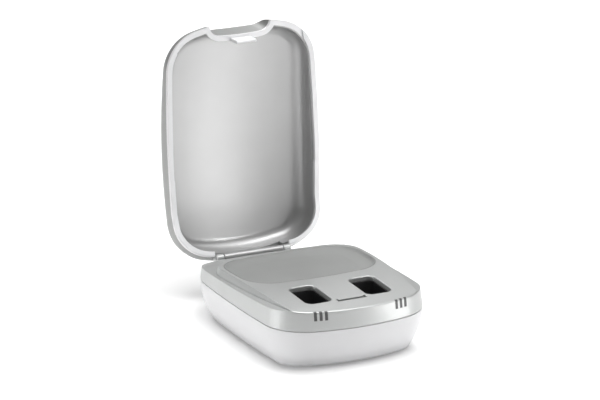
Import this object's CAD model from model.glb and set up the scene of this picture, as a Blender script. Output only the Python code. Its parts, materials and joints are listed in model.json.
import json
import math

import bpy
from mathutils import Matrix, Vector

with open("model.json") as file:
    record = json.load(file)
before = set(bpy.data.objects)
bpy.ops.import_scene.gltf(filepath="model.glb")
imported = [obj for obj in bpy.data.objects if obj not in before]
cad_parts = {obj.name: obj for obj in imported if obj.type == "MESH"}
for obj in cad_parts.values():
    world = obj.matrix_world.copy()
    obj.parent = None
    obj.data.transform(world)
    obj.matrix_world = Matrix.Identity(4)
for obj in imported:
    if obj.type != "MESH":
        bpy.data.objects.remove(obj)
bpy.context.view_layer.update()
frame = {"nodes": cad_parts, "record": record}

scene = bpy.context.scene
scene.view_settings.view_transform = "Standard"


# Surface detail: scales in features for each metre, lengths in metres
NOISE_DETAIL = 4.0
NOISE_ROUGHNESS = 0.5
NOISE_LOW = 0.3
NOISE_HIGH = 0.7
MOTTLE_SCALE = 60.0
MOTTLE_DETAIL = 3.0
GRAIN_SCALE = 9000.0
GRAIN_DETAIL = 2.0
GRAIN_DEPTH = 0.00002
GRAIN_STRENGTH = 0.5
ROUGHNESS_SPREAD = 0.1
COAT_ROUGHNESS = 0.15
EDGE_RADIUS = 0.0003
EDGE_SAMPLES = 4
SMOOTH_LIMIT = math.radians(28.0)
WELD_DISTANCE = 1e-6

# Floor and background
FLOOR_SIZE = 12.0
FLOOR_HEIGHT = -0.0002
FLOOR_DARK = (0.93, 0.93, 0.93)
FLOOR_LIGHT = (0.95, 0.95, 0.95)
FLOOR_GRAIN_SCALE = 300.0
FLOOR_ROUGHNESS = 0.9
FLOOR_LIFT = 0.2
ROOM_LIGHT = 0.14
WHITE = (1, 1, 1, 1)

# Lamps
OBJECT_MIDDLE = (0.0, 0.0, 0.04)
SPOT_SOFTNESS = 0.08

# Camera, matched to the photograph
AZIMUTH = math.radians(26.3945)
ELEVATION = math.radians(17.5195)
DISTANCE = 1.40965
TARGET = Vector((-0.00177735, 0.0, 0.0526970))
FOCAL_PIXELS = 3626.12
IMAGE_WIDTH = 600
SENSOR_WIDTH = 36.0
CLIP_START = 0.05
CLIP_END = 50.0


# Materials
def new_material(name):
    """Node material with a shader that feeds its output."""
    material = bpy.data.materials.new(name)
    material.use_nodes = True
    tree = material.node_tree
    tree.nodes.clear()
    shader = tree.nodes.new("ShaderNodeBsdfPrincipled")
    output = tree.nodes.new("ShaderNodeOutputMaterial")
    tree.links.new(shader.outputs["BSDF"], output.inputs["Surface"])
    return material, tree, shader


def noise(tree, scale, detail=NOISE_DETAIL):
    """Noise in the object's own space."""
    place = tree.nodes.new("ShaderNodeTexCoord")
    texture = tree.nodes.new("ShaderNodeTexNoise")
    texture.inputs["Scale"].default_value = scale
    texture.inputs["Detail"].default_value = detail
    texture.inputs["Roughness"].default_value = NOISE_ROUGHNESS
    tree.links.new(place.outputs["Object"], texture.inputs["Vector"])
    return texture.outputs["Fac"]


def spread(tree, value, low, high):
    """The noise value turned into a range."""
    node = tree.nodes.new("ShaderNodeMapRange")
    node.inputs["From Min"].default_value = NOISE_LOW
    node.inputs["From Max"].default_value = NOISE_HIGH
    node.inputs["To Min"].default_value = low
    node.inputs["To Max"].default_value = high
    tree.links.new(value, node.inputs["Value"])
    return node.outputs["Result"]


def mixed_colour(tree, factor, first, second):
    """Colour that goes from the first to the second with the factor."""
    node = tree.nodes.new("ShaderNodeMix")
    node.data_type = "RGBA"
    node.inputs["A"].default_value = (*first, 1)
    node.inputs["B"].default_value = (*second, 1)
    tree.links.new(factor, node.inputs["Factor"])
    return node.outputs["Result"]


def moulded(name, colour, rough, grain=GRAIN_SCALE, grain_depth=GRAIN_DEPTH, vary=0.03, coat=0.0, metal=0.0):
    """Moulded plastic, rubber or metal: slight mottling, fine grain and softened edges."""
    material, tree, shader = new_material(name)
    mottle = spread(tree, noise(tree, MOTTLE_SCALE, MOTTLE_DETAIL), 0.0, 1.0)
    darker = [channel * (1 - vary) for channel in colour]
    lighter = [min(1, channel * (1 + vary)) for channel in colour]
    tree.links.new(mixed_colour(tree, mottle, darker, lighter), shader.inputs["Base Color"])
    fine = noise(tree, grain, GRAIN_DETAIL)
    smoothest = rough * (1 - ROUGHNESS_SPREAD)
    roughest = min(1.0, rough * (1 + ROUGHNESS_SPREAD))
    tree.links.new(spread(tree, fine, smoothest, roughest), shader.inputs["Roughness"])
    soft = tree.nodes.new("ShaderNodeBevel")
    soft.samples = EDGE_SAMPLES
    soft.inputs["Radius"].default_value = EDGE_RADIUS
    bump = tree.nodes.new("ShaderNodeBump")
    bump.inputs["Strength"].default_value = GRAIN_STRENGTH
    bump.inputs["Distance"].default_value = grain_depth
    tree.links.new(fine, bump.inputs["Height"])
    tree.links.new(soft.outputs["Normal"], bump.inputs["Normal"])
    tree.links.new(bump.outputs["Normal"], shader.inputs["Normal"])
    shader.inputs["Metallic"].default_value = metal
    shader.inputs["Coat Weight"].default_value = coat
    shader.inputs["Coat Roughness"].default_value = COAT_ROUGHNESS
    return material


LOOKS = {
    "shell_white": dict(colour=(0.80, 0.80, 0.81), rough=0.34, coat=0.1, vary=0.01),
    "case_silver": dict(colour=(0.56, 0.57, 0.565), rough=0.38, vary=0.02, metal=0.6),
    "lid_silver": dict(colour=(0.36, 0.365, 0.36), rough=0.4, vary=0.02, metal=0.5),
    "liner_silver": dict(colour=(0.49, 0.49, 0.49), rough=0.34, vary=0.02, metal=0.6),
    "rim_white": dict(colour=(0.88, 0.88, 0.89), rough=0.3, coat=0.2, vary=0.01),
    "tray_grey": dict(colour=(0.30, 0.305, 0.30), rough=0.6, grain=14000.0, grain_depth=0.00003),
    "cup_black": dict(colour=(0.022, 0.022, 0.023), rough=0.45),
    "window_smoke": dict(colour=(0.09, 0.09, 0.09), rough=0.3),
    "pad_rubber": dict(colour=(0.05, 0.05, 0.05), rough=0.8, grain_depth=0.00004),
    "steel": dict(colour=(0.55, 0.55, 0.56), rough=0.3, metal=1.0, vary=0.04),
    "socket_metal": dict(colour=(0.55, 0.55, 0.56), rough=0.28, metal=1.0, vary=0.04),
    "copper": dict(colour=(0.6, 0.27, 0.1), rough=0.35, metal=1.0, vary=0.1),
    "ferrite": dict(colour=(0.05, 0.05, 0.055), rough=0.55, vary=0.1),
    "board_green": dict(colour=(0.015, 0.12, 0.04), rough=0.35, vary=0.08),
    "chip_black": dict(colour=(0.02, 0.02, 0.02), rough=0.5),
    "ceramic": dict(colour=(0.4, 0.28, 0.17), rough=0.4),
    "lamp_white": dict(colour=(0.75, 0.75, 0.65), rough=0.3),
    "ribbon_orange": dict(colour=(0.45, 0.17, 0.03), rough=0.35),
}
finishes = {name: moulded(name, **look) for name, look in LOOKS.items()}


# Smooth shading for the carried-over parts, as a modifier
def smoothing_group():
    """Node group that welds the facets' corners and shades flat only across sharp edges."""
    group = bpy.data.node_groups.new("smooth_by_angle", "GeometryNodeTree")
    group.interface.new_socket("Geometry", in_out="INPUT", socket_type="NodeSocketGeometry")
    group.interface.new_socket("Geometry", in_out="OUTPUT", socket_type="NodeSocketGeometry")
    start = group.nodes.new("NodeGroupInput")
    end = group.nodes.new("NodeGroupOutput")
    weld = group.nodes.new("GeometryNodeMergeByDistance")
    weld.inputs["Distance"].default_value = WELD_DISTANCE
    angle = group.nodes.new("GeometryNodeInputMeshEdgeAngle")
    compare = group.nodes.new("FunctionNodeCompare")
    compare.data_type = "FLOAT"
    compare.operation = "LESS_THAN"
    compare.inputs["B"].default_value = SMOOTH_LIMIT
    faces = group.nodes.new("GeometryNodeSetShadeSmooth")
    faces.domain = "FACE"
    edges = group.nodes.new("GeometryNodeSetShadeSmooth")
    edges.domain = "EDGE"
    link = group.links.new
    link(start.outputs[0], weld.inputs["Geometry"])
    link(weld.outputs["Geometry"], faces.inputs["Geometry"])
    link(faces.outputs["Geometry"], edges.inputs["Geometry"])
    link(angle.outputs["Unsigned Angle"], compare.inputs["A"])
    link(compare.outputs["Result"], edges.inputs["Shade Smooth"])
    link(edges.outputs["Geometry"], end.inputs[0])
    return group


smooth_group = smoothing_group()
finish_of = {part["node"]: part["material_slot"] for part in frame["record"]["subparts"]}
finish_of["lid_shell"] = "lid_silver"
for name, node in frame["nodes"].items():
    node.data.materials.clear()
    node.data.materials.append(finishes[finish_of[name]])
    smooth = node.modifiers.new("smooth", "NODES")
    smooth.node_group = smooth_group
    weighted = node.modifiers.new("weighted", "WEIGHTED_NORMAL")
    weighted.keep_sharp = True


# Floor and background
def floor_material():
    """Pale floor that the camera sees as white away from the object's shadow."""
    material, tree, shader = new_material("floor")
    shade = mixed_colour(tree, noise(tree, FLOOR_GRAIN_SCALE), FLOOR_DARK, FLOOR_LIGHT)
    tree.links.new(shade, shader.inputs["Base Color"])
    shader.inputs["Roughness"].default_value = FLOOR_ROUGHNESS
    shader.inputs["Specular IOR Level"].default_value = 0.0
    glow = tree.nodes.new("ShaderNodeEmission")
    glow.inputs["Color"].default_value = WHITE
    glow.inputs["Strength"].default_value = FLOOR_LIFT
    rays = tree.nodes.new("ShaderNodeLightPath")
    seen = tree.nodes.new("ShaderNodeMath")
    seen.operation = "ADD"
    seen.use_clamp = True
    lifted = tree.nodes.new("ShaderNodeAddShader")
    gate = tree.nodes.new("ShaderNodeMixShader")
    output = tree.nodes["Material Output"]
    tree.links.new(rays.outputs["Is Camera Ray"], seen.inputs[0])
    tree.links.new(rays.outputs["Is Glossy Ray"], seen.inputs[1])
    tree.links.new(shader.outputs["BSDF"], lifted.inputs[0])
    tree.links.new(glow.outputs["Emission"], lifted.inputs[1])
    tree.links.new(seen.outputs["Value"], gate.inputs["Fac"])
    tree.links.new(shader.outputs["BSDF"], gate.inputs[1])
    tree.links.new(lifted.outputs["Shader"], gate.inputs[2])
    tree.links.new(gate.outputs["Shader"], output.inputs["Surface"])
    return material


def make_floor():
    """Large square under the object."""
    half = FLOOR_SIZE / 2
    corners = [(x, y, FLOOR_HEIGHT) for x, y in ((-half, -half), (half, -half), (half, half), (-half, half))]
    mesh = bpy.data.meshes.new("floor")
    mesh.from_pydata(corners, [], [(0, 1, 2, 3)])
    mesh.materials.append(floor_material())
    floor = bpy.data.objects.new("floor", mesh)
    scene.collection.objects.link(floor)


def background(tree, strength):
    """White background of one strength."""
    node = tree.nodes.new("ShaderNodeBackground")
    node.inputs["Color"].default_value = WHITE
    node.inputs["Strength"].default_value = strength
    return node.outputs["Background"]


def make_world():
    """Room that lights the object softly and that the camera sees as white."""
    world = bpy.data.worlds.new("world")
    scene.world = world
    world.use_nodes = True
    tree = world.node_tree
    tree.nodes.clear()
    rays = tree.nodes.new("ShaderNodeLightPath")
    gate = tree.nodes.new("ShaderNodeMixShader")
    output = tree.nodes.new("ShaderNodeOutputWorld")
    tree.links.new(rays.outputs["Is Camera Ray"], gate.inputs["Fac"])
    tree.links.new(background(tree, ROOM_LIGHT), gate.inputs[1])
    tree.links.new(background(tree, 1.0), gate.inputs[2])
    tree.links.new(gate.outputs["Shader"], output.inputs["Surface"])


make_floor()
make_world()


# Lamps
def add_light(data, place, aim):
    """Light at a place, turned to shine at the aim."""
    light = bpy.data.objects.new(data.name, data)
    scene.collection.objects.link(light)
    light.location = place
    light.rotation_euler = (Vector(aim) - Vector(place)).to_track_quat("-Z", "Y").to_euler()


def lamp(name, place, size, power, aim=OBJECT_MIDDLE):
    """Soft square lamp."""
    data = bpy.data.lights.new(name, "AREA")
    data.shape = "SQUARE"
    data.size = size
    data.energy = power
    add_light(data, place, aim)


def spot(name, place, aim, cone, blend, power):
    """Lamp with a soft-edged beam, for one side of the object."""
    data = bpy.data.lights.new(name, "SPOT")
    data.spot_size = math.radians(cone)
    data.spot_blend = blend
    data.shadow_soft_size = SPOT_SOFTNESS
    data.energy = power
    add_light(data, place, aim)


lamp("front_top", place=(0.4, -0.3, 1.1), size=0.9, power=5.0)
lamp("top", place=(0.0, 0.0, 1.2), size=0.9, power=9.0)
lamp("top_back", place=(0.1, 0.8, 1.0), size=0.8, power=6.0)
lamp("low_card", place=(0.115, -0.14, 0.027), size=0.05, power=0.036, aim=(-0.015, 0.065, 0.075))
spot("left_spot", place=(-0.95, 0.2, 0.15), aim=(-0.034, -0.012, 0.010), cone=4.6, blend=0.8, power=70.0)
spot("lid_spot", place=(0.45, -0.75, 0.3), aim=(-0.013, 0.06, 0.078), cone=5.0, blend=1.0, power=36.0)


# Camera at the photograph's angle
def make_camera():
    """Camera that looks at the target from the photograph's side."""
    across = math.cos(ELEVATION)
    back = Vector((-math.sin(AZIMUTH) * across, -math.cos(AZIMUTH) * across, math.sin(ELEVATION)))
    right = Vector((math.cos(AZIMUTH), -math.sin(AZIMUTH), 0))
    up = back.cross(right)
    data = bpy.data.cameras.new("camera")
    data.sensor_width = SENSOR_WIDTH
    data.lens = FOCAL_PIXELS * SENSOR_WIDTH / IMAGE_WIDTH
    data.clip_start = CLIP_START
    data.clip_end = CLIP_END
    camera = bpy.data.objects.new("camera", data)
    scene.collection.objects.link(camera)
    turn = Matrix((right, up, back)).transposed()
    camera.matrix_world = Matrix.Translation(TARGET + back * DISTANCE) @ turn.to_4x4()
    return camera


scene.camera = make_camera()
